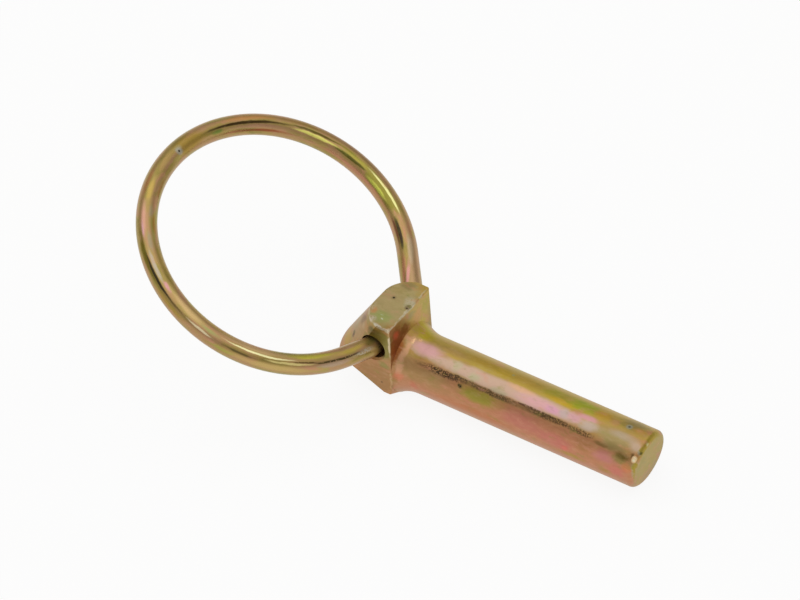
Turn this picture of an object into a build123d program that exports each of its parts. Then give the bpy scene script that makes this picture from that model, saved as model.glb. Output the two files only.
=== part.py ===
from build123d import *
from math import acos, cos, degrees, radians, sin
import os

# Lynch pin: a forged pin with a wedge head and a spring wire ring through the head.
# The origin is on the shank axis where the straight shank begins, +X runs to the tip and +Z is up.
# The pin lies on its shank, as on a table, and the ring stands part way up behind it.

# Shank and tip
shank_diameter = 11.0
shank_length = 49.5
tip_lean = 7.0
tip_edge_radius = 1.0
flare_length = 4.0
flare_height = 1.2

# Wedge head, measured from the shank axis and from the shoulder, its front face
head_top_height = 11.6
head_seat_drop = 0.1
head_width_at_top = 12.9
head_draft = 0.9
head_top_length = 6.4
back_slope_angle = 57.5
back_edge_radius = 5.3
back_end_radius = 3.0
underside_flat_length = 1.5
underside_flat_width = 7.6
underside_angle = 25.0
underside_bevel_height = 1.9
worn_edge_radius = 0.35

# Cross hole in the head
hole_diameter = 4.9
hole_setback = 3.7
hole_height = 5.95
hole_mouth_break = 0.3

# Spring wire ring, measured from the middle of the cross hole
wire_diameter = 3.83
ring_mean_diameter = 48.55
ring_set_back = 0.525
ring_side_slack = 2.55
ring_lift = 26.5
ring_lean = 1.0
ring_end_offset = 0.3
ring_end_gap = 1.6
ring_bend_width = 13.6
ring_bend_radius = 3.2

shank_radius = shank_diameter / 2
wire_radius = wire_diameter / 2
hole_radius = hole_diameter / 2
ring_radius = ring_mean_diameter / 2
ring_reach = ring_radius + ring_set_back
head_width_at_bottom = head_width_at_top + head_draft
head_bottom = -shank_radius - head_seat_drop
head_reach = head_top_length + head_top_height + shank_diameter
slope = radians(back_slope_angle)
rise = radians(underside_angle)

os.makedirs("parts", exist_ok=True)


def bevelled_section(foot, bevel_height, top_height, top_width):
    """Draw a head section standing on its bevelled underside, with corners counted from the foot."""
    with BuildLine() as half:
        Polyline(
            (0, foot),
            (underside_flat_width / 2, foot),
            (head_width_at_bottom / 2, foot + bevel_height),
            (top_width / 2, top_height),
            (0, top_height),
        )
        mirror(about=Plane.YZ)
    return half.line


# Head: the front outline cut by the side profile and by the two rounded backs
slope_top = (-head_top_length, 0, head_top_height)
slope_section = Plane(origin=slope_top, x_dir=(0, 1, 0), z_dir=(-cos(slope), 0, -sin(slope)))
underside_start = (-underside_flat_length, 0, head_bottom)
underside_section = Plane(origin=underside_start, x_dir=(0, 1, 0), z_dir=(cos(rise), 0, -sin(rise)))

with BuildPart() as back_bar:
    with BuildSketch(slope_section) as back_outline:
        with Locations((0, head_reach)):
            Rectangle(head_width_at_bottom, 2 * head_reach)
        fillet(back_outline.vertices().group_by(Axis.Y)[0], back_edge_radius)
    extrude(amount=2 * head_reach, both=True)

with BuildPart() as underside_bar:
    with BuildSketch(underside_section):
        add(bevelled_section(0, underside_bevel_height * cos(rise), head_reach, head_width_at_bottom))
        make_face()
    extrude(amount=2 * head_reach, both=True)

with BuildPart() as head:
    with BuildSketch(Plane.YZ):
        add(bevelled_section(head_bottom, underside_bevel_height, head_top_height, head_width_at_top))
        make_face()
    extrude(amount=head_reach, both=True)
    with BuildSketch(Plane.XZ) as side_profile:
        with BuildLine():
            top = Line((0, head_top_height), (-head_top_length, head_top_height))
            floor = Line((0, head_bottom), (-underside_flat_length, head_bottom))
            back = PolarLine(top @ 1, head_reach, 180 + back_slope_angle, mode=Mode.PRIVATE)
            under = PolarLine(floor @ 1, head_reach, 180 - underside_angle, mode=Mode.PRIVATE)
            back_corner = back.intersect(under)
            Line(top @ 1, back_corner)
            Line(floor @ 1, back_corner)
            Line(top @ 0, floor @ 0)
        make_face()
        fillet(side_profile.vertices().sort_by(Axis.X)[0], back_end_radius)
    extrude(amount=head_width_at_bottom, both=True, mode=Mode.INTERSECT)
    add(back_bar.part, mode=Mode.INTERSECT)
    add(underside_bar.part, mode=Mode.INTERSECT)
    fillet(head.faces().sort_by(Axis.X)[-1].edges(), worn_edge_radius)

# Shoulder: the forged flare between the head and the shank, flat below where the head is
with BuildPart() as shoulder:
    with BuildSketch(Plane.XZ):
        with BuildLine():
            flare = TangentArc((flare_length, shank_radius), (0, shank_radius + flare_height), tangent=(-1, 0))
            root = Line(flare @ 1, (-worn_edge_radius, shank_radius + flare_height))
            Polyline(root @ 1, (-worn_edge_radius, 0), (flare_length, 0), flare @ 0)
        make_face()
    revolve(axis=Axis.X)
    split(bisect_by=Plane.XY.offset(head_bottom), keep=Keep.TOP)

# Shank: a round bar sheared at the tip, its end edge broken
with BuildPart() as shank:
    with BuildSketch(Plane.YZ):
        Circle(shank_radius)
    extrude(amount=shank_length + shank_diameter)
    shear = Plane(origin=(shank_length, 0, 0), x_dir=(0, 1, 0), z_dir=(1, 0, 0)).rotated((0, tip_lean, 0))
    split(bisect_by=shear, keep=Keep.BOTTOM)
    fillet(shank.faces().sort_by(Axis.X)[-1].edges(), tip_edge_radius)

# Forging: the three in one piece, with the cross hole drilled and its two mouths broken
hole_middle = (-hole_setback, 0, hole_height)
corner_height = head_bottom + underside_bevel_height
width_lost_per_height = head_draft / (head_top_height - corner_height)
width_at_hole = head_width_at_top + width_lost_per_height * (head_top_height - hole_height)
with BuildPart() as forging:
    add(head.part)
    add(shoulder.part)
    add(shank.part)
    with BuildSketch(Plane.XZ):
        with Locations((-hole_setback, hole_height)):
            Circle(hole_radius)
    extrude(amount=head_width_at_bottom, both=True, mode=Mode.SUBTRACT)
    for side in (-1, 1):
        mouth_foot = (-hole_setback, side * (width_at_hole / 2 - hole_mouth_break), hole_height)
        with BuildSketch(Plane(origin=mouth_foot, z_dir=(0, side, 0))):
            Circle(hole_radius)
        extrude(amount=2 * hole_mouth_break, taper=-45, mode=Mode.SUBTRACT)

# Ring: local x runs from the cross hole to the middle of the ring and local y runs across the head
lift = radians(ring_lift)
lean = radians(ring_lean)
ring_plane = Plane(
    origin=hole_middle,
    x_dir=(-cos(lift), 0, sin(lift)),
    z_dir=(-sin(lift) * cos(lean), sin(lean), -cos(lift) * cos(lean)),
)
ring_middle = Vector(ring_reach, -ring_side_slack)


def tangent_point(start, side):
    """Find where a straight leg from the start touches the hoop, on the given side of it."""
    spoke = Vector(start) - ring_middle
    spread = degrees(acos(ring_radius / spoke.length))
    return tuple(ring_middle + spoke.normalized().rotate(Axis.Z, side * spread) * ring_radius)


with BuildPart() as bent_wire:
    with BuildLine(ring_plane) as ring_path:
        hoop_ends = []
        for side in (-1, 1):
            wire_end = (ring_end_offset, side * ring_end_gap / 2)
            bend = (ring_end_offset, side * ring_bend_width / 2)
            hoop_ends.append(tangent_point(bend, -side))
            Polyline(wire_end, bend, hoop_ends[-1])
        ThreePointArc(hoop_ends[0], (ring_reach + ring_radius, -ring_side_slack), hoop_ends[1])
        fillet(ring_path.vertices().sort_by_distance(ring_plane.origin)[2:4], ring_bend_radius)
    with BuildSketch(ring_path.line ^ 0):
        Circle(wire_radius)
    sweep()

# Both pieces, moved from the shoulder to the origin
with BuildPart() as pin_body:
    with Locations((-flare_length, 0, 0)):
        add(forging.part)

with BuildPart() as ring:
    with Locations((-flare_length, 0, 0)):
        add(bent_wire.part)

pin_body.part.label = "pin_body"
export_step(pin_body.part, "parts/pin_body.step")

ring.part.label = "ring"
export_step(ring.part, "parts/ring.step")
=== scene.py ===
"""Lynch pin in yellow passivated zinc: its finish, its wear, the studio around it and the camera."""

import logging
import math
from dataclasses import dataclass
from enum import Enum
from typing import Any, Union

import bpy
from mathutils import Matrix, Vector


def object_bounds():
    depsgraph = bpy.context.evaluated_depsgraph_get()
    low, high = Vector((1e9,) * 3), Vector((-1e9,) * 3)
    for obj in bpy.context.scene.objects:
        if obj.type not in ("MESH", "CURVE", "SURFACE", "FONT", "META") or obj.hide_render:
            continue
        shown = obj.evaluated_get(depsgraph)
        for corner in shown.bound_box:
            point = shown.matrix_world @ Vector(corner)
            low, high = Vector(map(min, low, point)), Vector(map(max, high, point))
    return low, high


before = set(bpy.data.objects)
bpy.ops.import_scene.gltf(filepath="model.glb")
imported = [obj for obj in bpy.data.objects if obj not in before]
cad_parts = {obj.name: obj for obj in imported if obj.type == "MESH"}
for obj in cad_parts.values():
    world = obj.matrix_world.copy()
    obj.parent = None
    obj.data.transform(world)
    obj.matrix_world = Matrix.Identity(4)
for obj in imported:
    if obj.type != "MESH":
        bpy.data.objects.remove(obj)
CAD_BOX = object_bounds()
LOG = logging.getLogger("lynch_pin")
MM = 0.001

Point = tuple[float, float, float]
Shade = tuple[int, int, int]


class Surface(Enum):
    """The material slots that the finishes are made for."""

    BODY = "passivated_body"
    RING = "passivated_ring"


def linear(shade: Shade) -> tuple[float, float, float, float]:
    """Turn a screen colour into the linear colour that a shader works in.

    Args:
        shade: Red, green and blue from 0 to 255, as seen on a screen.

    Returns:
        Linear red, green, blue and an alpha of 1.
    """
    parts = []
    for level in shade:
        part = level / 255
        parts.append(part / 12.92 if part <= 0.04045 else ((part + 0.055) / 1.055) ** 2.4)
    return (parts[0], parts[1], parts[2], 1.0)


class Value:
    """A number socket that can be used in a Python expression."""

    def __init__(self, graph: "Graph", socket: bpy.types.NodeSocket) -> None:
        """Wrap the socket of a graph."""
        self.graph = graph
        self.socket = socket

    def __add__(self, other: "Number") -> "Value":
        """Add."""
        return self.graph.math("ADD", self, other)

    def __radd__(self, other: "Number") -> "Value":
        """Add, with the number on the left."""
        return self.graph.math("ADD", other, self)

    def __sub__(self, other: "Number") -> "Value":
        """Subtract."""
        return self.graph.math("SUBTRACT", self, other)

    def __rsub__(self, other: "Number") -> "Value":
        """Subtract from a number on the left."""
        return self.graph.math("SUBTRACT", other, self)

    def __mul__(self, other: "Number") -> "Value":
        """Multiply."""
        return self.graph.math("MULTIPLY", self, other)

    def __rmul__(self, other: "Number") -> "Value":
        """Multiply, with the number on the left."""
        return self.graph.math("MULTIPLY", other, self)


Number = Union[float, Value]


def emptied(owner: Union[bpy.types.Material, bpy.types.World]) -> "Graph":
    """Give a material or a world an empty node tree.

    Args:
        owner: The material or the world.

    Returns:
        The graph of its node tree.
    """
    owner.use_nodes = True
    owner.node_tree.nodes.clear()
    return Graph(owner.node_tree)


@dataclass(frozen=True)
class Grain:
    """A noise: its cycles to the unit, how many finer layers it has and how strong they are."""

    scale: float
    layers: float
    rough: float


@dataclass
class Graph:
    """The node tree of a material or a world, with short ways to add to it."""

    tree: bpy.types.NodeTree

    def node(self, kind: str, settings: dict[str, Any], inputs: dict[Any, Any]) -> bpy.types.Node:
        """Add a node.

        Args:
            kind: The node's type name.
            settings: The node's own settings, set first; "stops" fills a colour ramp.
            inputs: Values or links for its sockets, by name or by number.

        Returns:
            The new node.
        """
        node = self.tree.nodes.new(kind)
        for name, setting in settings.items():
            if name == "stops":
                ramp = node.color_ramp
                while len(ramp.elements) < len(setting):
                    ramp.elements.new(0.5)
                for element, (place, shade) in zip(ramp.elements, setting):
                    element.position = place
                    element.color = linear(shade)
            else:
                setattr(node, name, setting)
        for name, value in inputs.items():
            socket = node.inputs[name]
            if isinstance(value, Value):
                self.tree.links.new(value.socket, socket)
            elif isinstance(value, bpy.types.NodeSocket):
                self.tree.links.new(value, socket)
            else:
                socket.default_value = value
        return node

    def math(self, operation: str, first: Number, second: Number) -> Value:
        """Add one Math node and return its result."""
        node = self.node("ShaderNodeMath", {"operation": operation}, {0: first, 1: second})
        return Value(self, node.outputs[0])

    def vector(self, operation: str, inputs: dict[Any, Any], result: str = "Vector") -> bpy.types.NodeSocket:
        """Add one Vector Math node and return the socket of its result."""
        return self.node("ShaderNodeVectorMath", {"operation": operation}, inputs).outputs[result]

    def ramped(self, value: Any, low: float, high: float) -> Value:
        """Map a value so that it eases from 0 at low to 1 at high.

        Args:
            value: The value or socket to map.
            low: Where the result is 0; it may be above high.
            high: Where the result is 1.

        Returns:
            The mapped value.
        """
        ends = {1: high, 2: low, 3: 1.0, 4: 0.0} if low > high else {1: low, 2: high, 3: 0.0, 4: 1.0}
        settings = {"interpolation_type": "SMOOTHSTEP", "clamp": True}
        return Value(self, self.node("ShaderNodeMapRange", settings, {0: value, **ends}).outputs[0])

    def mix(self, share: Number, under: Any, over: Any) -> bpy.types.NodeSocket:
        """Lay one colour over another by a share from 0 to 1."""
        node = self.node("ShaderNodeMix", {"data_type": "RGBA"}, {0: share, 6: under, 7: over})
        return node.outputs[2]

    def noise(self, place: Any, grain: Grain) -> bpy.types.Node:
        """Add a noise texture, which gives a number and a colour."""
        inputs = {"Vector": place, "Scale": grain.scale, "Detail": grain.layers, "Roughness": grain.rough}
        return self.node("ShaderNodeTexNoise", {}, inputs)


class Space(Enum):
    """The coordinates that a stain is laid out in."""

    SOLID = "along x, y and z, in mm"
    SHANK = "along the shank and round it from its top, in mm"
    HOOP = "round the ring and round its wire from its top, in degrees"


@dataclass
class Spread:
    """Coordinates that follow a shape, so that stains run along and round it.

    The sizes are the model's own, in mm and degrees: the ring's hoop is placed from the cross hole.
    """

    graph: Graph
    place: bpy.types.NodeSocket
    shank_radius: float = 5.5
    hole: Point = (-7.7, 0.0, 5.95)
    hoop_radius: float = 24.275
    hoop_reach: float = 24.8
    hoop_slack: float = 2.55
    hoop_lift: float = 26.5
    hoop_lean: float = 1.0
    wander: Grain = Grain(0.4, 3.0, 0.6)

    def coordinates(self, space: Space) -> bpy.types.NodeSocket:
        """Work out a space's coordinates, with a little wander in them.

        Args:
            space: The space to spread over the surface.

        Returns:
            The socket of the coordinates.
        """
        spread, sway = {
            Space.SOLID: (self.solid, (1.4, 1.4, 1.4)),
            Space.SHANK: (self.shank, (2.4, 0.5, 0.0)),
            Space.HOOP: (self.hoop, (6.0, 10.0, 0.0)),
        }[space]
        noise = self.graph.noise(self.place, self.wander)
        drift = {0: noise.outputs["Color"], 1: sway, 2: [-part / 2 for part in sway]}
        return self.graph.vector("ADD", {0: spread(), 1: self.graph.vector("MULTIPLY_ADD", drift)})

    def solid(self) -> bpy.types.NodeSocket:
        """Give the place itself."""
        return self.place

    def shank(self) -> bpy.types.NodeSocket:
        """Unroll the shank, from its top towards either side.

        Returns:
            The socket of the distance along the shank and the distance round it.
        """
        graph = self.graph
        along, across, up = graph.node("ShaderNodeSeparateXYZ", {}, {0: self.place}).outputs
        turn = graph.math("ARCTAN2", Value(graph, across), Value(graph, up)) * self.shank_radius
        return graph.node("ShaderNodeCombineXYZ", {}, {0: along, 1: turn}).outputs[0]

    def hoop_frame(self) -> tuple[Vector, list[Vector]]:
        """Work out where the ring's hoop lies.

        Returns:
            Its middle, and its directions away from the head, to the near side and upwards.
        """
        lift, lean = math.radians(self.hoop_lift), math.radians(self.hoop_lean)
        away = Vector((-math.cos(lift), 0.0, math.sin(lift)))
        upwards = Vector((math.sin(lift) * math.cos(lean), -math.sin(lean), math.cos(lift) * math.cos(lean)))
        nearer = upwards.cross(away)
        return Vector(self.hole) + away * self.hoop_reach + nearer * self.hoop_slack, [away, nearer, upwards]

    def hoop(self) -> bpy.types.NodeSocket:
        """Unroll the ring, from its far end and from the top of its wire.

        Returns:
            The socket of the angle round the hoop and the angle round its wire.
        """
        graph = self.graph
        middle, axes = self.hoop_frame()
        offset = graph.vector("SUBTRACT", {0: self.place, 1: middle})
        reaches = [graph.vector("DOT_PRODUCT", {0: offset, 1: axis}, "Value") for axis in axes]
        out, side, up = (Value(graph, reach) for reach in reaches)
        flat = graph.node("ShaderNodeCombineXYZ", {}, {0: out, 1: side}).outputs[0]
        distance = Value(graph, graph.vector("LENGTH", {0: flat}, "Value"))
        round_hoop = graph.math("ARCTAN2", side, out) * math.degrees(1)
        round_wire = graph.math("ARCTAN2", distance - self.hoop_radius, up) * math.degrees(1)
        return graph.node("ShaderNodeCombineXYZ", {}, {0: round_hoop, 1: round_wire}).outputs[0]


@dataclass(frozen=True)
class StainOrPaintedLight:
    """A soft patch where the passivation took another colour, or where it has worn, or a painted highlight,
    painted dark reflection or painted shade.

    Attributes:
        centre: Its middle, in its own space.
        reach: How far it goes each way from its middle.
        shade: Its colour, from 0 to 255.
        strength: How much it covers what is under it, from 0 to 1.
        grain: The level of the speckle below which it shows, or 0 where it is whole.
        edge: How far out it keeps its full strength, as a share of its reach.
        ragged: How much the streaks fray its edge.
        fade: How far above and below its grain the speckle fades.
    """

    centre: tuple[float, ...]
    reach: tuple[float, ...]
    shade: Shade
    strength: float = 0.8
    grain: float = 0.0
    edge: float = 0.25
    ragged: float = 0.9
    fade: tuple[float, float] = (0.09, 0.05)

    def mask(self, graph: Graph, place: Any, streak: Value, speckle: Value) -> Value:
        """Work out how much of the patch there is at a place.

        Args:
            graph: The material's graph.
            place: The place on the surface, in the stain's own space.
            streak: A streaky noise round 0 that frays the patch's edge.
            speckle: A fine noise from 0 to 1 that breaks the patch up.

        Returns:
            A share from 0 to the patch's strength.
        """
        centre = (*self.centre, 0.0)[:3]
        reach = (*self.reach, 1.0)[:3]
        scale = [1 / part for part in reach]
        shift = [-middle * factor for middle, factor in zip(centre, scale)]
        offset = graph.vector("MULTIPLY_ADD", {0: place, 1: scale, 2: shift})
        distance = Value(graph, graph.vector("LENGTH", {0: offset}, "Value"))
        share = graph.ramped(distance + streak * self.ragged, 1.0, self.edge)
        if self.grain:
            above, below = self.fade
            share = share * graph.ramped(speckle, self.grain + above, self.grain - below)
        return share * self.strength


@dataclass(frozen=True)
class PitOrPaintedGlint:
    """A small pit or mark in the plating, with a rim of another shade round it; with no depth it also serves
    as a painted highlight, a bright core with a halo.

    Attributes:
        centre: Its middle, in mm.
        radius: The radius of its floor, in mm.
        rim_shade: The colour of its rim, from 0 to 255.
        floor_shade: The colour of its floor, or of a painted highlight's bright core, from 0 to 255.
        rim: Where its rim ends, in radii.
        depth: How deep it is, where 1 is a full pit and 0 a flat mark.
        rim_foot: Where its rim is full, in radii.
        floor_foot: Where its floor is full, in radii.
    """

    centre: Point
    radius: float
    rim_shade: Shade = (172, 166, 140)
    floor_shade: Shade = (70, 62, 34)
    rim: float = 2.4
    depth: float = 1.0
    rim_foot: float = 1.2
    floor_foot: float = 0.4

    def masks(self, graph: Graph, place: Any) -> tuple[Value, Value]:
        """Work out how much of the pit's rim and floor there is at a place.

        Args:
            graph: The material's graph.
            place: The place on the surface, in mm.

        Returns:
            The rim's share and the floor's share, each from 0 to 1.
        """
        distance = graph.vector("DISTANCE", {0: place, 1: self.centre}, "Value")
        rim = graph.ramped(distance, self.rim * self.radius, self.rim_foot * self.radius)
        return rim, graph.ramped(distance, self.radius, self.floor_foot * self.radius)


@dataclass(frozen=True)
class Passivated:
    """Yellow passivated zinc plate, with its cloudy colours, stains, pits and fine grain, and with
    highlights, dark reflections and shade painted in among the stains.
    """

    surface: Surface
    cloud_shades: tuple[tuple[float, Shade], ...]
    stains_and_painted_light: tuple[tuple[Space, tuple[StainOrPaintedLight, ...]], ...]
    pits_and_glints: tuple[PitOrPaintedGlint, ...]
    grain_space: Space
    grain_scale: Point
    shimmer: tuple[tuple[Shade, float, float], ...] = (
        ((206, 132, 112), 0.55, 0.75),
        ((150, 152, 70), 0.45, 0.27),
    )
    shimmer_share: float = 0.4
    mottle_dark: Shade = (92, 76, 38)
    mottle_pale: Shade = (226, 206, 160)
    mottle: float = 0.5
    rim_share: float = 0.8
    metallic: float = 0.8
    roughness: float = 0.4
    cloud_grain: Grain = Grain(0.3, 3.0, 0.6)
    streak_grain: Grain = Grain(0.75, 4.0, 0.6)
    fine_grain: Grain = Grain(1.5, 3.0, 0.65)
    speckle_grain: Grain = Grain(3.4, 2.0, 0.6)
    bump_strength: float = 0.3
    bump_height: float = 0.04 * MM
    bump_shares: tuple[float, float, float] = (0.6, 0.4, -3.0)
    gloss_shares: tuple[float, float, float] = (0.2, 0.12, 0.3)

    def material(self) -> bpy.types.Material:
        """Build the material.

        Returns:
            The finished material.
        """
        material = bpy.data.materials.new(self.surface.value)
        graph = emptied(material)
        metres = graph.node("ShaderNodeTexCoord", {}, {}).outputs["Object"]
        place = graph.vector("SCALE", {0: metres, 3: 1 / MM})
        spread = Spread(graph, place)
        used = dict.fromkeys([self.grain_space, *(space for space, _ in self.stains_and_painted_light)])
        spaces = {space: spread.coordinates(space) for space in used}
        grain_place = graph.vector("MULTIPLY", {0: spaces[self.grain_space], 1: self.grain_scale})
        cloud, streak, fine = (
            Value(graph, graph.noise(grain_place, grain).outputs[0])
            for grain in (self.cloud_grain, self.streak_grain, self.fine_grain)
        )
        speckle = Value(graph, graph.noise(place, self.speckle_grain).outputs[0])

        tint = graph.node("ShaderNodeValToRGB", {"stops": self.cloud_shades}, {0: cloud}).outputs[0]
        # Lay the stains, and the painted highlights, painted dark reflections and painted shade among them
        for space, stains_and_painted_light in self.stains_and_painted_light:
            for stain_or_light in stains_and_painted_light:
                share = stain_or_light.mask(graph, spaces[space], streak - 0.5, speckle)
                tint = graph.mix(share, tint, linear(stain_or_light.shade))
        for shade, low, high in self.shimmer:
            tint = graph.mix(graph.ramped(streak, low, high) * self.shimmer_share, tint, linear(shade))
        tint = graph.mix((0.5 - fine) * self.mottle, tint, linear(self.mottle_dark))
        tint = graph.mix((fine - 0.5) * self.mottle, tint, linear(self.mottle_pale))
        tint, sunk = self.with_pits_and_glints(graph, place, tint)

        from_fine, from_speckle, from_pits = self.bump_shares
        height = fine * from_fine + speckle * from_speckle + sunk * from_pits
        depths = {"Strength": self.bump_strength, "Distance": self.bump_height, "Height": height}
        bump = graph.node("ShaderNodeBump", {}, depths)
        from_fine, from_cloud, from_pits = self.gloss_shares
        gloss = (fine - 0.5) * from_fine + (cloud - 0.5) * from_cloud + sunk * from_pits + self.roughness
        look = {"Base Color": tint, "Metallic": self.metallic, "Roughness": gloss, "Normal": bump.outputs[0]}
        shader = graph.node("ShaderNodeBsdfPrincipled", {}, look)
        graph.node("ShaderNodeOutputMaterial", {}, {"Surface": shader.outputs[0]})
        return material

    def with_pits_and_glints(self, graph: Graph, place: Any, tint: Any) -> tuple[Any, Value]:
        """Lay the pits, and the painted highlights made as flat pits, over the colour.

        Args:
            graph: The material's graph.
            place: The place on the surface, in mm.
            tint: The colour under the pits.

        Returns:
            The colour with its pits and painted highlights, and how deep each place lies in a pit, from 0 to
            1.
        """
        sunk = None
        for pit_or_glint in self.pits_and_glints:
            rim, floor = pit_or_glint.masks(graph, place)
            tint = graph.mix(rim * self.rim_share, tint, linear(pit_or_glint.rim_shade))
            tint = graph.mix(floor, tint, linear(pit_or_glint.floor_shade))
            sunk = floor * pit_or_glint.depth if sunk is None else sunk + floor * pit_or_glint.depth
        return tint, sunk


@dataclass
class Piece:
    """A CAD piece that has one finish all over."""

    node: str

    def finish(self) -> Passivated:
        """Describe the piece's finish."""
        raise NotImplementedError

    def dress(self) -> None:
        """Put the finish into every material slot of the piece."""
        material = self.finish().material()
        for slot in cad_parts[self.node].material_slots:
            slot.material = material


@dataclass
class PinBody(Piece):
    """The forged pin body: its wedge head, flare, shank and sheared tip."""

    node: str = "pin_body"
    cloud_shades: tuple[tuple[float, Shade], ...] = (
        (0.30, (150, 132, 66)),
        (0.45, (168, 134, 72)),
        (0.58, (182, 132, 84)),
        (0.72, (160, 142, 74)),
    )

    def head_stains_and_painted_light(self) -> tuple[StainOrPaintedLight, ...]:
        """List the head's stains and worn edges, and the painted shade above the cross hole.

        Returns:
            The stains and the painted shade, along x, y and z, each laid over those before it.
        """
        return (
            # Top
            StainOrPaintedLight((-7.5, 0.0, 11.9), (6.5, 8.0, 1.3), (181, 164, 114), 0.85, 0.0, 0.6),
            StainOrPaintedLight((-7.2, -4.0, 11.6), (2.8, 2.4, 1.0), (156, 166, 94), 0.8),
            StainOrPaintedLight((-6.9, -4.6, 11.6), (0.4, 0.3, 0.6), (206, 208, 176), 0.9),
            StainOrPaintedLight((-7.3, -3.7, 11.6), (0.5, 0.25, 0.6), (192, 200, 160), 0.8),
            StainOrPaintedLight((-9.3, -3.2, 11.6), (0.9, 0.9, 0.8), (206, 142, 90), 0.7),
            StainOrPaintedLight((-5.0, 1.6, 11.6), (1.3, 1.8, 0.8), (198, 188, 160), 0.7, 0.58),
            StainOrPaintedLight((-7.5, 4.8, 11.6), (2.0, 1.8, 0.9), (150, 128, 80), 0.7),
            StainOrPaintedLight((-8.4, 3.0, 11.6), (1.6, 1.4, 0.9), (176, 152, 96), 0.6),
            # Sloping back
            StainOrPaintedLight((-12.0, -2.0, 7.6), (5.5, 8.0, 4.6), (172, 142, 98), 0.8, 0.0, 0.5),
            StainOrPaintedLight((-10.6, -4.0, 9.6), (1.9, 1.6, 1.8), (132, 100, 62), 0.9),
            StainOrPaintedLight((-9.8, -5.2, 8.8), (1.0, 0.8, 1.0), (190, 164, 122), 0.7),
            StainOrPaintedLight((-12.7, -5.1, 5.6), (0.5, 0.7, 1.1), (104, 74, 44), 0.9),
            StainOrPaintedLight((-14.6, -4.4, 3.6), (2.0, 2.6, 2.4), (184, 148, 60), 0.85),
            StainOrPaintedLight((-12.0, -5.8, 4.0), (1.4, 1.0, 1.2), (196, 144, 108), 0.7),
            StainOrPaintedLight((-12.7, -2.8, 7.4), (1.2, 1.8, 2.0), (168, 160, 116), 0.5),
            StainOrPaintedLight((-10.4, 0.0, 8.4), (1.6, 3.6, 1.6), (88, 70, 44), 0.8, 0.42),
            # Far side, back corner and underside
            StainOrPaintedLight((-6.8, 6.7, 5.4), (4.6, 1.2, 4.6), (186, 144, 96), 0.85),
            StainOrPaintedLight((-6.0, 6.8, 0.4), (4.0, 1.2, 3.4), (164, 152, 82), 0.8),
            StainOrPaintedLight((-12.0, 4.4, 4.6), (3.4, 2.6, 3.2), (196, 142, 104), 0.75),
            StainOrPaintedLight((-8.0, 0.0, -5.4), (4.6, 5.0, 1.8), (180, 152, 84), 0.8),
            # Near side
            StainOrPaintedLight((-6.4, -6.7, 7.4), (4.4, 1.1, 4.0), (134, 124, 56), 0.9, 0.0, 0.55),
            # Painted shade just above the cross hole, under the top edge
            StainOrPaintedLight((-7.9, -6.6, 9.9), (2.2, 1.0, 1.1), (104, 92, 44), 0.85),
            StainOrPaintedLight((-6.8, -6.9, -0.6), (5.4, 1.2, 4.0), (166, 124, 76), 0.9, 0.0, 0.6),
            StainOrPaintedLight((-5.4, -6.8, 3.0), (1.8, 0.8, 1.1), (140, 138, 70), 0.7),
            # Front face
            StainOrPaintedLight((-4.0, -4.2, 6.0), (1.0, 2.4, 5.6), (158, 92, 42), 0.95, 0.0, 0.55),
            StainOrPaintedLight((-4.0, -1.8, 8.2), (0.9, 2.0, 1.8), (140, 88, 34), 0.9, 0.0, 0.4),
            StainOrPaintedLight((-4.0, -4.5, 8.8), (0.8, 1.1, 1.4), (214, 108, 66), 0.9),
            StainOrPaintedLight((-4.0, -5.6, 6.4), (0.8, 0.9, 2.4), (172, 104, 48), 0.7),
            StainOrPaintedLight((-4.0, 0.4, 9.8), (0.8, 1.6, 1.0), (156, 142, 84), 0.7),
            StainOrPaintedLight((-4.0, 2.4, 8.2), (1.2, 2.2, 2.4), (196, 146, 84), 0.8),
            StainOrPaintedLight((-4.0, 5.0, 9.0), (1.0, 2.0, 2.6), (170, 156, 60), 0.8),
            StainOrPaintedLight((-3.0, 3.2, 5.6), (1.8, 2.6, 1.7), (186, 166, 40), 0.9),
            StainOrPaintedLight((-4.0, 6.0, 5.5), (1.0, 0.8, 3.5), (160, 140, 80), 0.6),
            # Worn edges
            StainOrPaintedLight((-4.05, -1.0, 11.55), (0.4, 8.0, 0.4), (204, 190, 158), 1.0, 0.66, 0.5, 0.3),
            StainOrPaintedLight((-4.0, -6.5, 8.2), (0.42, 0.4, 5.0), (214, 196, 160), 1.0, 0.64, 0.4, 0.3),
            StainOrPaintedLight((-4.0, -6.75, 0.6), (0.35, 0.35, 5.0), (196, 160, 116), 0.8, 0.58, 0.35, 0.3),
            StainOrPaintedLight((-6.0, -6.45, 11.6), (3.0, 0.55, 0.5), (204, 194, 172), 1.0, 0.66, 0.45, 0.4),
            StainOrPaintedLight((-4.3, -6.3, 11.4), (0.8, 0.7, 0.8), (206, 192, 164), 0.9, 0.62, 0.4),
            StainOrPaintedLight((-8.6, -5.4, 11.5), (1.3, 1.1, 0.6), (198, 184, 156), 0.9, 0.58, 0.35),
            StainOrPaintedLight((-9.8, -2.8, 11.3), (0.6, 3.0, 0.6), (196, 178, 140), 0.7, 0.52, 0.35),
            StainOrPaintedLight((-10.1, 2.4, 11.2), (0.6, 4.0, 0.7), (98, 84, 52), 0.8, 0.44, 0.35),
            StainOrPaintedLight((-4.5, 0.3, 11.6), (0.7, 0.7, 0.6), (112, 92, 62), 0.8),
        )

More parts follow.
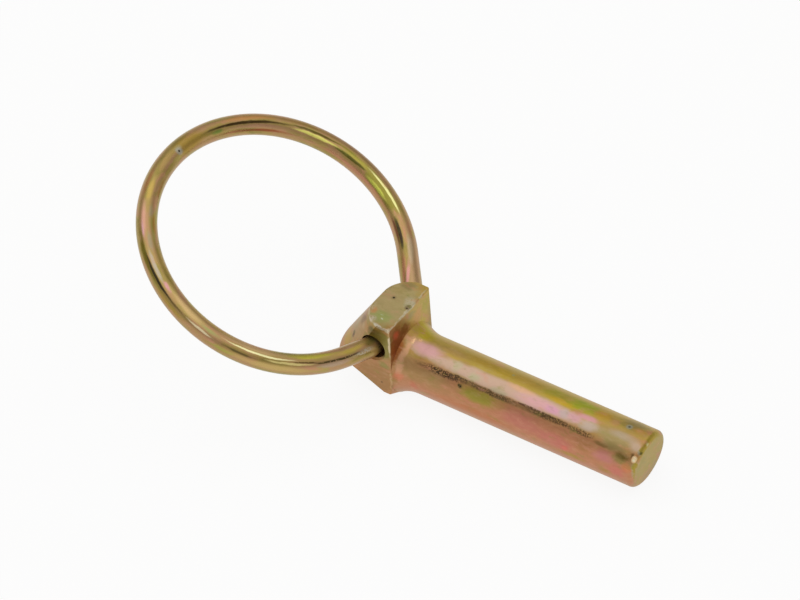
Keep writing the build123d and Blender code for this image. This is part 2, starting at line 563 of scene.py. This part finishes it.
    def shank_stains_and_painted_light(self) -> tuple[StainOrPaintedLight, ...]:
        """List the stains and streaks of the shank and its flare, the rough draw line along it, and the
        highlights and dark reflection painted onto them.

        Returns:
            The stains and the painted light, on the unrolled shank, each laid over those before it.
        """
        return (
            # Gold and copper bands
            StainOrPaintedLight((21.0, 2.2), (40.0, 4.6), (190, 162, 72), 0.85, 0.0, 0.6),
            StainOrPaintedLight((20.0, -8.6), (44.0, 6.2), (192, 130, 96), 0.85, 0.0, 0.6),
            StainOrPaintedLight((1.5, -6.2), (10.0, 3.2), (172, 136, 88), 0.9),
            # Far side and underside
            StainOrPaintedLight((14.0, 8.0), (20.0, 3.4), (198, 140, 104), 0.8, 0.0, 0.4),
            StainOrPaintedLight((32.0, 9.4), (12.0, 2.6), (170, 156, 70), 0.75),
            StainOrPaintedLight((24.0, 12.6), (18.0, 2.6), (206, 140, 122), 0.75),
            StainOrPaintedLight((6.0, 13.6), (9.0, 3.2), (184, 156, 66), 0.75),
            StainOrPaintedLight((20.0, -14.0), (24.0, 3.6), (182, 150, 74), 0.8, 0.0, 0.4),
            StainOrPaintedLight((38.0, 13.0), (8.0, 3.0), (192, 148, 116), 0.75),
            StainOrPaintedLight((18.0, 5.6), (9.0, 0.9), (112, 90, 54), 0.7, 0.5),
            # Pale pink band above the draw line: partly the plate's own pink, partly a painted highlight
            # running along the shank, with a painted sheen near the tip
            StainOrPaintedLight((18.0, -2.35), (23.0, 1.75), (200, 168, 148), 0.92, 0.0, 0.55, 0.6),
            StainOrPaintedLight((0.6, -1.4), (4.4, 1.9), (210, 160, 160), 0.9),
            StainOrPaintedLight((7.2, -2.0), (1.4, 1.6), (184, 176, 138), 0.6),
            StainOrPaintedLight((11.2, -2.7), (1.6, 1.1), (178, 174, 136), 0.7),
            StainOrPaintedLight((16.2, -3.3), (3.0, 0.7), (174, 164, 130), 0.7),
            StainOrPaintedLight((20.4, -1.3), (4.6, 0.9), (222, 172, 132), 0.7),
            StainOrPaintedLight((24.5, -2.5), (6.6, 1.6), (214, 162, 164), 0.85),
            StainOrPaintedLight((27.2, -2.5), (2.4, 1.1), (208, 152, 176), 0.7),
            StainOrPaintedLight((29.6, -2.3), (1.6, 1.2), (188, 166, 162), 0.8),
            StainOrPaintedLight((31.8, -2.2), (2.0, 1.2), (206, 154, 160), 0.8),
            StainOrPaintedLight((33.9, -1.2), (3.4, 0.8), (214, 152, 162), 0.8),
            StainOrPaintedLight((35.0, -2.6), (2.6, 1.2), (188, 168, 154), 0.8),
            StainOrPaintedLight((40.6, -2.6), (5.6, 2.6), (160, 140, 92), 0.9),
            StainOrPaintedLight((41.6, -1.7), (3.6, 1.0), (178, 158, 134), 0.7),
            StainOrPaintedLight((40.8, -4.2), (3.4, 1.1), (150, 130, 80), 0.8),
            # Gold and green patches on top
            StainOrPaintedLight((-1.5, 1.5), (2.0, 2.0), (190, 170, 34), 0.95),
            StainOrPaintedLight((5.0, 0.2), (5.0, 1.1), (180, 144, 84), 0.7),
            StainOrPaintedLight((11.0, 1.0), (4.8, 1.6), (188, 152, 54), 0.8),
            StainOrPaintedLight((15.4, 0.6), (3.0, 1.6), (194, 160, 50), 0.8),
            StainOrPaintedLight((17.0, 0.9), (0.5, 0.4), (152, 158, 116), 0.7),
            StainOrPaintedLight((20.0, 0.8), (4.0, 1.8), (192, 156, 62), 0.7),
            StainOrPaintedLight((25.6, 1.0), (3.4, 1.9), (172, 162, 48), 0.85),
            StainOrPaintedLight((28.6, -0.3), (5.0, 0.9), (198, 162, 44), 0.9),
            StainOrPaintedLight((31.8, 0.9), (4.2, 2.3), (166, 172, 40), 0.95),
            StainOrPaintedLight((36.0, 0.7), (2.2, 1.7), (200, 156, 52), 0.9),
            StainOrPaintedLight((38.4, 0.2), (1.4, 1.2), (192, 142, 92), 0.7),
            StainOrPaintedLight((41.8, 1.8), (3.6, 2.8), (150, 130, 70), 0.85),
            # Near side
            StainOrPaintedLight((13.6, -5.5), (6.4, 2.0), (160, 146, 58), 0.95),
            StainOrPaintedLight((22.4, -6.8), (7.0, 2.6), (192, 120, 102), 0.85),
            StainOrPaintedLight((29.6, -7.6), (5.4, 2.0), (196, 118, 104), 0.85),
            StainOrPaintedLight((31.6, -8.2), (1.5, 0.9), (214, 108, 94), 0.7),
            StainOrPaintedLight((35.2, -6.2), (2.6, 1.6), (168, 122, 74), 0.7),
            StainOrPaintedLight((39.6, -6.6), (3.2, 1.7), (198, 128, 122), 0.85),
            StainOrPaintedLight((42.6, -5.8), (1.8, 1.2), (150, 132, 74), 0.8),
            StainOrPaintedLight((44.2, -6.9), (1.3, 1.3), (204, 126, 84), 0.85),
            StainOrPaintedLight((42.4, -8.4), (2.8, 1.7), (202, 118, 104), 0.8),
            StainOrPaintedLight((33.0, -9.3), (3.6, 0.8), (168, 138, 46), 0.7),
            StainOrPaintedLight((40.0, -9.5), (2.0, 0.8), (168, 128, 50), 0.7),
            StainOrPaintedLight((12.0, -9.2), (12.0, 1.3), (188, 118, 74), 0.7),
            # Flare: a painted highlight arc along its edge, two painted highlight dots on top, and red-pink
            # patches lower down
            StainOrPaintedLight((-2.9, -5.0), (0.8, 6.0), (212, 160, 124), 0.8, 0.0, 0.35, 0.3),
            StainOrPaintedLight((-2.6, -1.2), (0.5, 0.9), (238, 192, 146), 0.9, 0.56),
            StainOrPaintedLight((-1.5, -0.4), (0.6, 0.5), (232, 182, 132), 0.8, 0.54),
            StainOrPaintedLight((-3.0, -8.0), (1.2, 1.6), (204, 116, 84), 0.7),
            StainOrPaintedLight((-0.2, -9.2), (1.6, 1.4), (198, 112, 84), 0.6),
            # Rough draw line: partly rough dark specks, partly a painted dark reflection running along the
            # shank below the painted highlight
            StainOrPaintedLight((18.6, -4.1), (18.4, 0.7), (122, 94, 58), 0.7, 0.0, 0.35, 0.5),
            StainOrPaintedLight((5.3, -4.3), (6.2, 0.95), (66, 50, 32), 0.95, 0.52, 0.35, 0.4),
            StainOrPaintedLight((15.4, -4.1), (6.8, 0.75), (84, 68, 40), 0.9, 0.5, 0.35, 0.4),
            StainOrPaintedLight((27.6, -4.05), (6.4, 0.7), (82, 62, 38), 0.9, 0.52, 0.35, 0.5),
            StainOrPaintedLight((34.2, -4.05), (3.2, 0.65), (90, 68, 42), 0.9, 0.52, 0.35, 0.5),
            StainOrPaintedLight((22.6, -3.75), (4.4, 0.28), (92, 58, 44), 0.85, 0.58, 0.35, 0.3),
            StainOrPaintedLight((27.8, -3.75), (3.4, 0.26), (78, 58, 36), 0.85, 0.58, 0.35, 0.3),
            StainOrPaintedLight((8.6, -3.8), (3.2, 0.28), (70, 54, 36), 0.85, 0.56, 0.35, 0.3),
            StainOrPaintedLight((38.2, -4.6), (2.2, 0.5), (132, 106, 58), 0.8),
            # Next to the tip
            StainOrPaintedLight((43.0, -5.1), (1.7, 0.9), (116, 96, 40), 0.95, 0.0, 0.25, 0.3),
            StainOrPaintedLight((44.4, -4.3), (0.6, 0.6), (100, 76, 36), 0.85),
            StainOrPaintedLight((44.4, -2.6), (1.8, 1.5), (188, 162, 140), 0.8),
            StainOrPaintedLight((45.6, -3.4), (0.7, 0.7), (160, 162, 132), 0.8),
            StainOrPaintedLight((43.4, 0.6), (1.8, 1.0), (204, 150, 76), 0.75),
            StainOrPaintedLight((45.3, 1.4), (1.2, 1.2), (206, 142, 100), 0.75),
            StainOrPaintedLight((45.5, -6.8), (0.6, 2.6), (182, 162, 122), 0.9, 0.0, 0.35, 0.2),
        )

    def tip_stains_and_painted_light(self) -> tuple[StainOrPaintedLight, ...]:
        """List the stains of the sheared end face, and a painted highlight on its edge.

        Returns:
            The stains and the painted highlight, along x, y and z, each laid over those before it.
        """
        return (
            StainOrPaintedLight((46.5, 0.0, 0.0), (1.6, 7.6, 7.6), (168, 144, 52), 0.95, 0.0, 0.85),
            StainOrPaintedLight((45.6, 2.2, 1.6), (1.4, 2.2, 2.4), (172, 140, 56), 0.7),
            StainOrPaintedLight((46.4, -2.4, 1.0), (1.4, 1.8, 2.6), (154, 138, 48), 0.7),
            StainOrPaintedLight((45.8, -3.0, 4.2), (0.6, 0.5, 0.5), (92, 86, 34), 0.9),
            # Painted highlight on the end face's edge
            StainOrPaintedLight((46.0, -1.0, 4.9), (0.5, 0.5, 0.5), (206, 204, 150), 0.9, 0.0, 0.25, 0.3),
            StainOrPaintedLight((45.5, -2.4, -3.4), (1.0, 2.6, 2.0), (180, 144, 62), 0.7),
        )

    def pits_and_glints(self) -> tuple[PitOrPaintedGlint, ...]:
        """List the pits in the plating, and the painted highlight at the tip.

        Returns:
            The pits, and the painted highlight on the tip's edge, with their centres along x, y and z.
        """
        return (
            PitOrPaintedGlint((-8.0, 1.1, 11.6), 0.3, (156, 138, 94), (60, 50, 32), 2.0),
            PitOrPaintedGlint((-4.5, 0.0, 11.6), 0.24, (150, 130, 96), (70, 58, 40), 2.0),
            PitOrPaintedGlint((9.3, -4.46, 3.22), 0.28, (120, 100, 60), (40, 36, 24), 1.8),
            PitOrPaintedGlint((9.0, -4.4, 3.3), 0.2, (120, 100, 60), (60, 50, 30), 1.8),
            PitOrPaintedGlint((41.3, 0.6, 5.45), 0.34, (162, 160, 136), (108, 106, 90), 2.3),
            PitOrPaintedGlint((-5.9, -6.85, -1.5), 0.16, (156, 116, 76)),
            # Painted highlight on the tip's edge, as two flat bright marks
            PitOrPaintedGlint((45.2, -4.05, 3.65), 0.36, (244, 210, 160), (255, 246, 214), 1.6, 0.0),
            PitOrPaintedGlint((45.17, -4.28, 3.37), 0.34, (244, 210, 160), (255, 244, 208), 1.6, 0.0),
        )

    def finish(self) -> Passivated:
        """Describe the pin body's finish.

        Returns:
            The plate with the stains and painted light of the shank, then those of the tip and the head.
        """
        return Passivated(
            surface=Surface.BODY,
            cloud_shades=self.cloud_shades,
            stains_and_painted_light=(
                (Space.SHANK, self.shank_stains_and_painted_light()),
                (Space.SOLID, self.tip_stains_and_painted_light() + self.head_stains_and_painted_light()),
            ),
            pits_and_glints=self.pits_and_glints(),
            grain_space=Space.SOLID,
            grain_scale=(0.35, 1.0, 1.0),
        )


@dataclass
class SpringRing(Piece):
    """The spring wire ring through the head."""

    node: str = "ring"
    cloud_shades: tuple[tuple[float, Shade], ...] = (
        (0.34, (138, 128, 58)),
        (0.46, (170, 144, 82)),
        (0.56, (180, 139, 100)),
        (0.68, (168, 156, 80)),
    )

    def stains_and_painted_light(self) -> tuple[StainOrPaintedLight, ...]:
        """List the stains and streaks round the hoop, with its painted highlight lines and painted dark
        reflection lines.

        Returns:
            The stains and painted lines, on the unrolled ring, each laid over those before it.
        """
        return (
            # Far side, next to the head
            StainOrPaintedLight((-146.0, 20.0), (16.0, 40.0), (182, 146, 108), 0.85, 0.0, 0.5),
            StainOrPaintedLight((-150.0, -16.0), (10.0, 18.0), (212, 150, 140), 0.95),
            StainOrPaintedLight((-148.0, -46.0), (12.0, 20.0), (192, 130, 98), 0.85),
            StainOrPaintedLight((-138.0, -4.0), (10.0, 24.0), (192, 166, 136), 0.85),
            StainOrPaintedLight((-128.0, 16.0), (5.0, 14.0), (188, 136, 98), 0.8),
            # A painted dark reflection line along the wire, with reddish brown below it
            StainOrPaintedLight((-129.5, -44.0), (9.5, 13.0), (72, 58, 40), 1.0, 0.0, 0.5, 0.5),
            StainOrPaintedLight((-128.0, -62.0), (9.0, 11.0), (122, 74, 52), 0.85, 0.0, 0.4, 0.5),
            # Far side, with its painted bright green highlight lines and painted dark reflection lines
            StainOrPaintedLight((-106.0, -30.0), (20.0, 46.0), (142, 134, 52), 0.95, 0.0, 0.5),
            StainOrPaintedLight((-109.0, -11.0), (15.0, 9.0), (238, 234, 156), 1.0, 0.0, 0.5, 0.3),
            StainOrPaintedLight((-105.0, -48.0), (9.5, 13.0), (206, 208, 90), 0.95, 0.0, 0.4, 0.5),
            StainOrPaintedLight((-90.0, -18.0), (9.0, 16.0), (170, 158, 66), 0.8),
            StainOrPaintedLight((-88.0, -35.0), (12.0, 11.0), (84, 80, 20), 0.95, 0.0, 0.45, 0.4),
            StainOrPaintedLight((-84.0, -8.0), (9.0, 8.0), (138, 128, 40), 0.8),
            StainOrPaintedLight((-90.0, 30.0), (26.0, 30.0), (156, 122, 84), 0.9),
            StainOrPaintedLight((-94.0, -72.0), (34.0, 18.0), (182, 126, 98), 0.9),
            StainOrPaintedLight((-69.0, -11.0), (15.0, 9.0), (92, 80, 16), 0.95, 0.0, 0.45, 0.4),
            StainOrPaintedLight((-69.5, -29.0), (13.5, 11.0), (236, 228, 122), 1.0, 0.0, 0.5, 0.3),
            StainOrPaintedLight((-64.0, -52.0), (16.0, 14.0), (156, 134, 76), 0.8),
            StainOrPaintedLight((-64.0, 14.0), (20.0, 16.0), (168, 132, 74), 0.85),
            StainOrPaintedLight((-72.0, 42.0), (22.0, 18.0), (160, 120, 86), 0.85),
            # Far side, towards the end away from the head
            StainOrPaintedLight((-44.0, -38.0), (20.0, 20.0), (186, 142, 110), 0.9),
            StainOrPaintedLight((-46.0, -62.0), (14.0, 12.0), (168, 96, 62), 0.9, 0.0, 0.3, 0.5),
            StainOrPaintedLight((-32.0, -62.0), (9.0, 12.0), (186, 128, 92), 0.8),
            StainOrPaintedLight((-38.0, 12.0), (18.0, 20.0), (204, 148, 88), 0.9),
            StainOrPaintedLight((-46.0, 36.0), (12.0, 14.0), (188, 146, 108), 0.7),
            StainOrPaintedLight((-26.0, 34.0), (9.0, 12.0), (166, 150, 84), 0.7),
            # A painted dark reflection line along the top of the wire
            StainOrPaintedLight((-36.0, -15.5), (26.0, 11.0), (66, 48, 14), 1.0, 0.0, 0.45, 0.4),
            StainOrPaintedLight((-22.0, -34.0), (4.5, 15.0), (118, 136, 60), 0.9),
            # The end away from the head
            StainOrPaintedLight((-7.0, -10.0), (11.0, 60.0), (166, 136, 56), 0.85, 0.0, 0.5),
            StainOrPaintedLight((-0.5, -10.0), (3.0, 36.0), (172, 162, 128), 0.7),
            StainOrPaintedLight((8.0, 8.0), (8.0, 26.0), (176, 142, 86), 0.8),
            StainOrPaintedLight((12.0, -38.0), (12.0, 24.0), (138, 122, 50), 0.85),
            StainOrPaintedLight((22.0, -40.0), (9.0, 18.0), (146, 104, 44), 0.9),
            StainOrPaintedLight((20.0, 46.0), (9.0, 18.0), (190, 134, 84), 0.85),
            StainOrPaintedLight((24.5, 16.0), (7.0, 22.0), (194, 164, 84), 0.9),
            StainOrPaintedLight((37.5, 34.0), (11.0, 20.0), (208, 156, 132), 0.95),
            StainOrPaintedLight((42.5, 40.0), (5.5, 10.0), (210, 158, 160), 0.85),
            StainOrPaintedLight((34.5, -8.0), (5.0, 18.0), (170, 156, 118), 0.8),
            StainOrPaintedLight((41.0, -26.0), (8.0, 16.0), (168, 122, 52), 0.8),
            StainOrPaintedLight((28.0, -52.0), (20.0, 14.0), (158, 150, 66), 0.7),
            # Near side, middle
            StainOrPaintedLight((49.0, 12.0), (6.0, 18.0), (160, 144, 112), 0.85),
            StainOrPaintedLight((54.0, 60.0), (14.0, 18.0), (124, 108, 30), 0.95, 0.0, 0.4),
            StainOrPaintedLight((60.0, 27.0), (10.0, 14.0), (184, 170, 146), 0.95, 0.0, 0.4),
            # A painted dark reflection line along the wire
            StainOrPaintedLight((65.0, 46.0), (14.0, 9.5), (66, 56, 34), 1.0, 0.0, 0.45, 0.4),
            StainOrPaintedLight((78.0, 46.0), (6.0, 8.0), (112, 92, 44), 0.8),
            StainOrPaintedLight((70.0, 20.0), (3.2, 14.0), (212, 150, 154), 0.9),
            StainOrPaintedLight((60.0, -20.0), (16.0, 20.0), (168, 144, 70), 0.8),
            StainOrPaintedLight((84.0, 10.0), (16.0, 26.0), (202, 170, 116), 0.85),
            StainOrPaintedLight((76.0, 72.0), (12.0, 18.0), (162, 134, 54), 0.8),
            # Near side, towards the head, with its painted highlight lines and painted dark reflection
            # lines, broken into specks near the head
            StainOrPaintedLight((103.0, 66.0), (7.0, 18.0), (156, 158, 66), 0.85),
            StainOrPaintedLight((92.0, 44.0), (7.5, 7.5), (250, 232, 190), 1.0, 0.0, 0.5, 0.3),
            StainOrPaintedLight((95.0, 18.0), (7.0, 16.0), (160, 158, 96), 0.9),
            StainOrPaintedLight((110.0, 42.0), (9.0, 9.0), (106, 90, 50), 0.9, 0.0, 0.35, 0.5),
            StainOrPaintedLight((116.0, -14.0), (22.0, 22.0), (208, 174, 124), 0.9),
            StainOrPaintedLight((96.0, -24.0), (16.0, 16.0), (188, 158, 92), 0.75),
            StainOrPaintedLight((141.0, -16.0), (15.0, 22.0), (196, 186, 70), 0.95),
            StainOrPaintedLight((124.0, 62.0), (30.0, 26.0), (198, 170, 104), 0.9),
            StainOrPaintedLight((150.0, 44.0), (12.0, 20.0), (180, 154, 128), 0.9),
            StainOrPaintedLight((131.0, 29.5), (12.5, 7.5), (242, 224, 148), 1.0, 0.0, 0.5, 0.3),
            StainOrPaintedLight((118.0, 11.5), (18.0, 7.0), (255, 246, 186), 1.0, 0.0, 0.5, 0.3),
            StainOrPaintedLight((137.0, 19.0), (6.5, 6.0), (86, 68, 26), 0.95, 0.58, 0.4, 0.3),
            StainOrPaintedLight((152.0, 25.0), (15.0, 8.0), (70, 56, 28), 0.95, 0.58, 0.4, 0.4),
            StainOrPaintedLight((158.0, -2.0), (11.0, 20.0), (182, 158, 70), 0.85),
            StainOrPaintedLight((164.0, 34.0), (7.0, 16.0), (196, 186, 164), 0.85, 0.5),
            StainOrPaintedLight((169.0, 0.0), (5.0, 30.0), (136, 128, 70), 0.7),
        )

    def pits_and_glints(self) -> tuple[PitOrPaintedGlint, ...]:
        """List the pits in the plating."""
        return (PitOrPaintedGlint((-50.45, -2.5, 29.25), 0.3, (176, 172, 156), (62, 58, 46), 3.0),)

    def finish(self) -> Passivated:
        """Describe the ring's finish.

        Returns:
            The plate, glossier than on the pin body, with the stains and the painted highlight and dark
            reflection lines of the hoop.
        """
        return Passivated(
            surface=Surface.RING,
            cloud_shades=self.cloud_shades,
            stains_and_painted_light=((Space.HOOP, self.stains_and_painted_light()),),
            pits_and_glints=self.pits_and_glints(),
            grain_space=Space.HOOP,
            grain_scale=(0.12, 0.035, 1.0),
            mottle=0.3,
            roughness=0.3,
        )


@dataclass
class Studio:
    """The pale floor, the pale surroundings and one soft lamp."""

    floor_half: float = 3.0
    floor_drop: float = 0.00002
    sky_bands: tuple[tuple[float, Shade], ...] = (
        (0.50, (255, 255, 255)),
        (0.54, (224, 223, 220)),
        (0.61, (206, 204, 200)),
        (0.72, (180, 177, 172)),
        (0.82, (190, 187, 182)),
        (0.90, (246, 246, 244)),
        (1.00, (252, 252, 252)),
    )
    paper_colour: tuple[float, float, float, float] = (0.93, 0.93, 0.93, 1.0)
    white: tuple[float, float, float, float] = (1.0, 1.0, 1.0, 1.0)
    paper_glow: float = 0.9
    lamp_place: Point = (-0.15, -0.12, 0.95)
    lamp_size: float = 1.4
    lamp_power: float = 1.5

    def floor(self) -> None:
        """Lay the floor that the pin rests on, white to the camera and in the metal's reflections."""
        half = self.floor_half
        level = CAD_BOX[0][2] - self.floor_drop
        corners = [(-half, -half, level), (half, -half, level), (half, half, level), (-half, half, level)]
        mesh = bpy.data.meshes.new("studio_floor")
        mesh.from_pydata(corners, [], [(0, 1, 2, 3)])
        floor = bpy.data.objects.new("studio_floor", mesh)
        bpy.context.scene.collection.objects.link(floor)
        material = bpy.data.materials.new("studio_paper")
        graph = emptied(material)
        path = graph.node("ShaderNodeLightPath", {}, {})
        camera, glossy, through = (
            Value(graph, path.outputs[f"Is {kind} Ray"]) for kind in ("Camera", "Glossy", "Transmission")
        )
        seen = graph.math("MAXIMUM", graph.math("MAXIMUM", camera, glossy), through)
        paper = graph.node("ShaderNodeBsdfDiffuse", {}, {"Color": self.paper_colour})
        glow = graph.node("ShaderNodeEmission", {}, {"Color": self.white, "Strength": 1.0})
        shares = {0: seen * self.paper_glow, 1: paper.outputs[0], 2: glow.outputs[0]}
        mixed = graph.node("ShaderNodeMixShader", {}, shares)
        graph.node("ShaderNodeOutputMaterial", {}, {"Surface": mixed.outputs[0]})
        mesh.materials.append(material)

    def surroundings(self) -> None:
        """Make the world a soft studio tent, white at the horizon and overhead."""
        world = bpy.data.worlds.new("studio_tent")
        bpy.context.scene.world = world
        graph = emptied(world)
        place = graph.node("ShaderNodeTexCoord", {}, {}).outputs["Generated"]
        up = Value(graph, graph.node("ShaderNodeSeparateXYZ", {}, {0: place}).outputs[2])
        tent = graph.node("ShaderNodeValToRGB", {"stops": self.sky_bands}, {0: up * 0.5 + 0.5})
        back = graph.node("ShaderNodeBackground", {}, {"Color": tent.outputs[0], "Strength": 1.0})
        graph.node("ShaderNodeOutputWorld", {}, {"Surface": back.outputs[0]})

    def light(self) -> None:
        """Hang the soft lamp, aimed at the pin."""
        lamp = bpy.data.lights.new("overhead_softbox", "AREA")
        lamp.shape = "DISK"
        lamp.size = self.lamp_size
        lamp.energy = self.lamp_power
        holder = bpy.data.objects.new("overhead_softbox", lamp)
        holder.location = self.lamp_place
        holder.rotation_euler = (-Vector(self.lamp_place)).to_track_quat("-Z", "Y").to_euler()
        bpy.context.scene.collection.objects.link(holder)

    def build(self) -> None:
        """Build the whole studio."""
        self.floor()
        self.surroundings()
        self.light()
        bpy.context.scene.view_settings.view_transform = "Standard"


@dataclass
class ProductCamera:
    """A long lens, looking down on the pin from its tip's near side."""

    azimuth: float = 36.241
    elevation: float = 43.4997
    roll: float = 3.384
    distance: float = 1.08698
    target: Point = (-0.009384, 0.004762, 0.007330)
    lens: float = 276.37

    def place(self) -> None:
        """Put the camera where it looks at the target, and make it the scene's own."""
        turn, climb, roll = (math.radians(part) for part in (self.azimuth, self.elevation, self.roll))
        back = Vector((math.sin(turn) * math.cos(climb), -math.cos(turn) * math.cos(climb), math.sin(climb)))
        level = Vector((0, 0, 1)).cross(back).normalized()
        down = level.cross(back)
        right = math.cos(roll) * level + math.sin(roll) * down
        up = back.cross(right)
        data = bpy.data.cameras.new("product_camera")
        data.lens = self.lens
        data.sensor_width = 36.0
        data.sensor_fit = "HORIZONTAL"
        data.clip_start = 0.01
        data.clip_end = 20.0
        camera = bpy.data.objects.new("product_camera", data)
        axes = Matrix((right, up, back)).transposed().to_4x4()
        camera.matrix_world = Matrix.Translation(Vector(self.target) + back * self.distance) @ axes
        bpy.context.scene.collection.objects.link(camera)
        bpy.context.scene.camera = camera


def main() -> None:
    """Place the camera, build the studio and dress both pieces."""
    logging.basicConfig(level=logging.INFO, format="%(message)s")
    ProductCamera().place()
    LOG.info("camera placed")
    Studio().build()
    LOG.info("studio built")
    for piece in (PinBody(), SpringRing()):
        piece.dress()
        LOG.info("%s dressed", piece.node)


if __name__ == "__main__":
    main()
